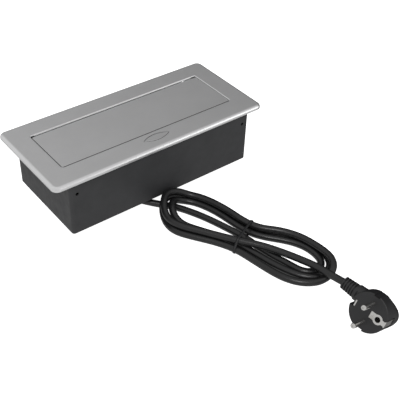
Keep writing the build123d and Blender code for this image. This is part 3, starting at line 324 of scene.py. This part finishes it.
cu = bpy.data.curves.new("mains_cord", "CURVE")
cu.dimensions = "3D"
sp = cu.splines.new("NURBS")
sp.points.add(len(route) - 1)
for p, (x, y, z) in zip(sp.points, route):
    p.co = (x * MM, y * MM, z * MM, 1)
sp.order_u = 3
sp.use_endpoint_u = True
sp.resolution_u = 8
cord = bpy.data.objects.new("mains_cord", cu)
scene.collection.objects.link(cord)
bpy.context.view_layer.update()
line_mesh = bpy.data.meshes.new_from_object(cord.evaluated_get(bpy.context.evaluated_depsgraph_get()))
centre = [v.co.copy() for v in line_mesh.vertices]
bpy.data.meshes.remove(line_mesh)
cu.bevel_depth = 3.5 * MM
cu.bevel_resolution = 8
cu.use_fill_caps = True
cu.materials.append(MATS["cord_black"])
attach(cord, "box")
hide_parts("mains_lead", "lead_hank", "lead_end")


# ---------------------------------------------------------------- tie, pulled tight round the strands
tie_o = Vector((30.4, -141.4, 0)) * MM
tie_x = Vector((0.911, 0.412, 0)).normalized()
tie_n = Vector((0.412, -0.911, 0)).normalized()
hits = []
for a, b in zip(centre, centre[1:]):
    da, db = (a - tie_o).dot(tie_n), (b - tie_o).dot(tie_n)
    if da * db < 0 and abs((a - tie_o).dot(tie_x)) < 0.03:
        p = a.lerp(b, da / (da - db))
        hits.append(((p - tie_o).dot(tie_x), p.z))


def hull_round(circles, r):
    pts = []
    for cx, cz in circles:
        for i in range(48):
            t = 2 * math.pi * i / 48
            pts.append((cx + r * math.cos(t), max(0.0002, cz + r * math.sin(t))))
    pts = sorted(set(pts))

    def half(seq):
        h = []
        for p in seq:
            while len(h) > 1 and (h[-1][0] - h[-2][0]) * (p[1] - h[-2][1]) - (h[-1][1] - h[-2][1]) * (p[0] - h[-2][0]) <= 0:
                h.pop()
            h.append(p)
        return h
    lower, upper = half(pts), half(pts[::-1])
    return lower[:-1] + upper[:-1]


def spaced(loop, n):
    """n points evenly along a closed loop."""
    seg = [math.dist(a, b) for a, b in zip(loop, loop[1:] + loop[:1])]
    total, out, k, run = sum(seg), [], 0, 0.0
    for i in range(n):
        want = total * i / n
        while run + seg[k] < want:
            run += seg[k]
            k += 1
        a, b = loop[k], loop[(k + 1) % len(loop)]
        f = (want - run) / seg[k]
        out.append((a[0] + (b[0] - a[0]) * f, a[1] + (b[1] - a[1]) * f))
    return out


bm = bmesh.new()
inner_loop = spaced(hull_round(hits, 3.45 * MM), 120)
outer_loop = spaced(hull_round(hits, 4.35 * MM), 120)
mid = [((a[0] + b[0]) / 2, (a[1] + b[1]) / 2) for a, b in zip(inner_loop, outer_loop)]
profile = [(-1.3, 0.0), (-1.2, 0.22), (-0.55, 0.30), (-0.42, 0.46), (0.42, 0.46), (0.55, 0.30), (1.2, 0.22), (1.3, 0.0),
           (1.2, -0.22), (0.45, -0.34), (-0.45, -0.34), (-1.2, -0.22)]
rings = []
n = len(mid)
for i in range(n):
    a, b = mid[i - 1], mid[(i + 1) % n]
    t = Vector((b[0] - a[0], b[1] - a[1])).normalized()
    out2 = Vector((t.y, -t.x))
    ring = []
    for w, h in profile:
        x = mid[i][0] + out2.x * h * MM
        z = max(0.00012, mid[i][1] + out2.y * h * MM)
        ring.append(bm.verts.new(tie_o + tie_x * x + Vector((0, 0, z)) + tie_n * (w * MM)))
    rings.append(ring)
m = len(profile)
for i in range(n):
    for j in range(m):
        bm.faces.new((rings[i][j], rings[i][(j + 1) % m], rings[(i + 1) % n][(j + 1) % m], rings[(i + 1) % n][j]))
bmesh.ops.recalc_face_normals(bm, faces=bm.faces)
tie = mesh_object("hank_tie", bm, "box", "tie_black", "lead_tie")


# ---------------------------------------------------------------- springs and inner leads, remade as meshes in place of the plain pieces
slot_of = {part["node"]: part["material_slot"] for part in frame["record"]["subparts"]}


def wire_tube(bm, path, r, sides=6, closed=False):
    """Round wire along a path of points in millimetres."""
    rings, n = [], len(path)
    side = None
    for i, p in enumerate(path):
        a = path[i - 1] if (i or closed) else p
        b = path[(i + 1) % n] if (i < n - 1 or closed) else p
        t = (b - a).normalized()
        side = t.orthogonal() if side is None else side - t * side.dot(t)
        side.normalize()
        other = t.cross(side)
        rings.append([bm.verts.new((p + (side * math.cos(2 * math.pi * k / sides) + other * math.sin(2 * math.pi * k / sides)) * r) * MM)
                      for k in range(sides)])
    for i in range(n if closed else n - 1):
        a, b = rings[i], rings[(i + 1) % n]
        for k in range(sides):
            bm.faces.new((a[k], a[(k + 1) % sides], b[(k + 1) % sides], b[k]))
    if not closed:
        bm.faces.new(rings[0][::-1])
        bm.faces.new(rings[-1])


def flexing(name, bm, slot, node):
    """A mesh in place of the plain piece, with its placement baked into the vertices."""
    me = bpy.data.meshes.new(name)
    bmesh.ops.recalc_face_normals(bm, faces=bm.faces)
    bm.to_mesh(me)
    bm.free()
    for p in me.polygons:
        p.use_smooth = True
    o = bpy.data.objects.new(name, me)
    scene.collection.objects.link(o)
    me.materials.append(MATS[slot])
    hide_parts(node)
    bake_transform(o)
    return o


for side, s in (("left", -1), ("right", 1)):
    A, B = Vector((s * 100.7, -47.5, 52.0)), Vector((s * 100.7, 26.5, 42.6))
    u = (B - A).normalized()
    w = Vector((1, 0, 0))
    v = u.cross(w)
    bm = bmesh.new()
    turns, c0, c1 = 74, 5.4, (B - A).length - 5.4
    coil = []
    for i in range(turns * 14 + 1):
        a = 2 * math.pi * i / 14
        coil.append(A + u * (c0 + (c1 - c0) * i / (turns * 14)) + (w * math.cos(a) + v * math.sin(a)) * 1.24)
    wire_tube(bm, coil, 0.33)
    for eye, to, first in ((A, u, coil[0]), (B, -u, coil[-1])):
        ring = [eye + (to * math.cos(a) + v * math.sin(a)) * 1.75 for a in (math.radians(12 * k) for k in range(30))]
        wire_tube(bm, ring, 0.33, closed=True)
        wire_tube(bm, [first, first.lerp(eye + to * 3.6, 0.6), eye + to * 2.9, eye + to * 1.7], 0.33)
    flexing("lift_coil_" + side, bm, "spring_steel", "lift_spring_" + side)

for name in ("live", "neutral", "earth"):
    src = nodes["inner_lead_" + name]
    bm = bmesh.new()
    bm.from_mesh(src.data)
    bm.transform(src.matrix_world)
    flexing("lead_flex_" + name, bm, slot_of["inner_lead_" + name], "inner_lead_" + name)

# coil under the release button
bm = bmesh.new()
coil = []
for i in range(4 * 28 + 1):
    a = 2 * math.pi * i / 28
    t = i / (4 * 28)
    coil.append(Vector((-1.0 + 4.0 * math.cos(a), -38.9 + 4.0 * math.sin(a), 66.98 + 3.84 * t)))
wire_tube(bm, coil, 0.36, 8)
bmesh.ops.recalc_face_normals(bm, faces=bm.faces)
press_coil = mesh_object("button_coil", bm, "box", "spring_steel", "button_spring")
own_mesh(press_coil)


# ---------------------------------------------------------------- studio
def flat_white():
    m, nt, sh, co = tree("floor_white")
    nt.links.new(ramp(nt, noise(nt, co, 2.0), 0.3, 0.7, (0.93, 0.93, 0.93), (0.96, 0.96, 0.96)), sh.inputs["Base Color"])
    sh.inputs["Roughness"].default_value = 0.9
    sh.inputs["Specular IOR Level"].default_value = 0.0
    sh.inputs["Emission Color"].default_value = (1, 1, 1, 1)
    sh.inputs["Emission Strength"].default_value = 0.95
    return m


bm = bmesh.new()
bmesh.ops.create_grid(bm, x_segments=2, y_segments=2, size=6.0)
me = bpy.data.meshes.new("floor")
bm.to_mesh(me)
bm.free()
floor = bpy.data.objects.new("floor", me)
floor.location.z = -0.0003
scene.collection.objects.link(floor)
me.materials.append(flat_white())
floor.visible_diffuse = False
floor.visible_glossy = False

# plain white surround, seen only behind the object
bm = bmesh.new()
bmesh.ops.create_uvsphere(bm, u_segments=48, v_segments=24, radius=7.0)
me = bpy.data.meshes.new("surround")
bm.to_mesh(me)
bm.free()
surround = bpy.data.objects.new("surround", me)
scene.collection.objects.link(surround)
me.materials.append(flat_white())
surround.visible_diffuse = False
surround.visible_glossy = False
surround.visible_transmission = False
surround.visible_shadow = False

world = bpy.data.worlds.new("studio")
scene.world = world
world.use_nodes = True
bg = world.node_tree.nodes["Background"]
wt = world.node_tree
wco = wt.nodes.new("ShaderNodeTexCoord")
# brighter towards the front left, darker towards the rear right
dot = wt.nodes.new("ShaderNodeVectorMath")
dot.operation = "DOT_PRODUCT"
dot.inputs[1].default_value = (-0.83, -0.49, 0.29)
wt.links.new(wco.outputs["Generated"], dot.inputs[0])
wramp = wt.nodes.new("ShaderNodeValToRGB")
for i, (pos, v) in enumerate(((0.0, 0.01), (0.10, 0.05), (0.17, 0.21), (0.24, 0.34), (0.53, 0.67), (1.0, 0.60))):
    e = wramp.color_ramp.elements[i] if i < 2 else wramp.color_ramp.elements.new(pos)
    e.position, e.color = pos, (v, v, v, 1)
wt.links.new(span(wt, dot.outputs["Value"], -1, 1, 0, 1), wramp.inputs[0])
wt.links.new(wramp.outputs[0], bg.inputs[0])
bg.inputs[1].default_value = 1.04


def area(name, place, target, size, power, glossy=True):
    d = bpy.data.lights.new(name, "AREA")
    d.shape, d.size, d.energy = "DISK", size, power
    o = bpy.data.objects.new(name, d)
    o.location = place
    o.rotation_mode = "QUATERNION"
    o.rotation_quaternion = (Vector(target) - Vector(place)).to_track_quat("-Z", "Y")
    o.visible_glossy = glossy
    scene.collection.objects.link(o)
    return o


area("key", (-1.1, -1.3, 1.7), (0, 0, 0.05), 1.6, 12.5, glossy=False)
# a low lamp for the rim alone, which lights its rolled front edge
edge_lamp = area("edge", (0.75, -0.80, 0.30), (0.1, -0.05, 0.03), 0.8, 1.5)
rim_only = bpy.data.collections.new("rim_piece")
rim_only.objects.link(nodes["bezel_frame"])
edge_lamp.light_linking.receiver_collection = rim_only
# a smaller lamp for the black pieces alone, which gives the round lead its highlights
sheen = area("sheen", (-0.8, -0.9, 1.5), (0.02, -0.12, 0.02), 0.6, 7.5)
blacks = [MATS[k] for k in ("black_sheet", "black_plastic", "cord_black", "rubber_black", "tie_black")]
dark = bpy.data.collections.new("black_pieces")
for o in scene.objects:
    if o.type not in ("MESH", "CURVE") or o in (floor, surround):
        continue
    if any(m in blacks for m in o.data.materials):
        dark.objects.link(o)
assert len(dark.objects) > 10, "the lamp for the black pieces has no pieces"
sheen.light_linking.receiver_collection = dark
area("fill", (0.75, -0.80, 0.30), (0.1, -0.05, 0.03), 0.6, 1.8, glossy=False)
scene.view_settings.view_transform = "Standard"
scene.view_settings.look = "None"
scene.view_settings.exposure = 0.0
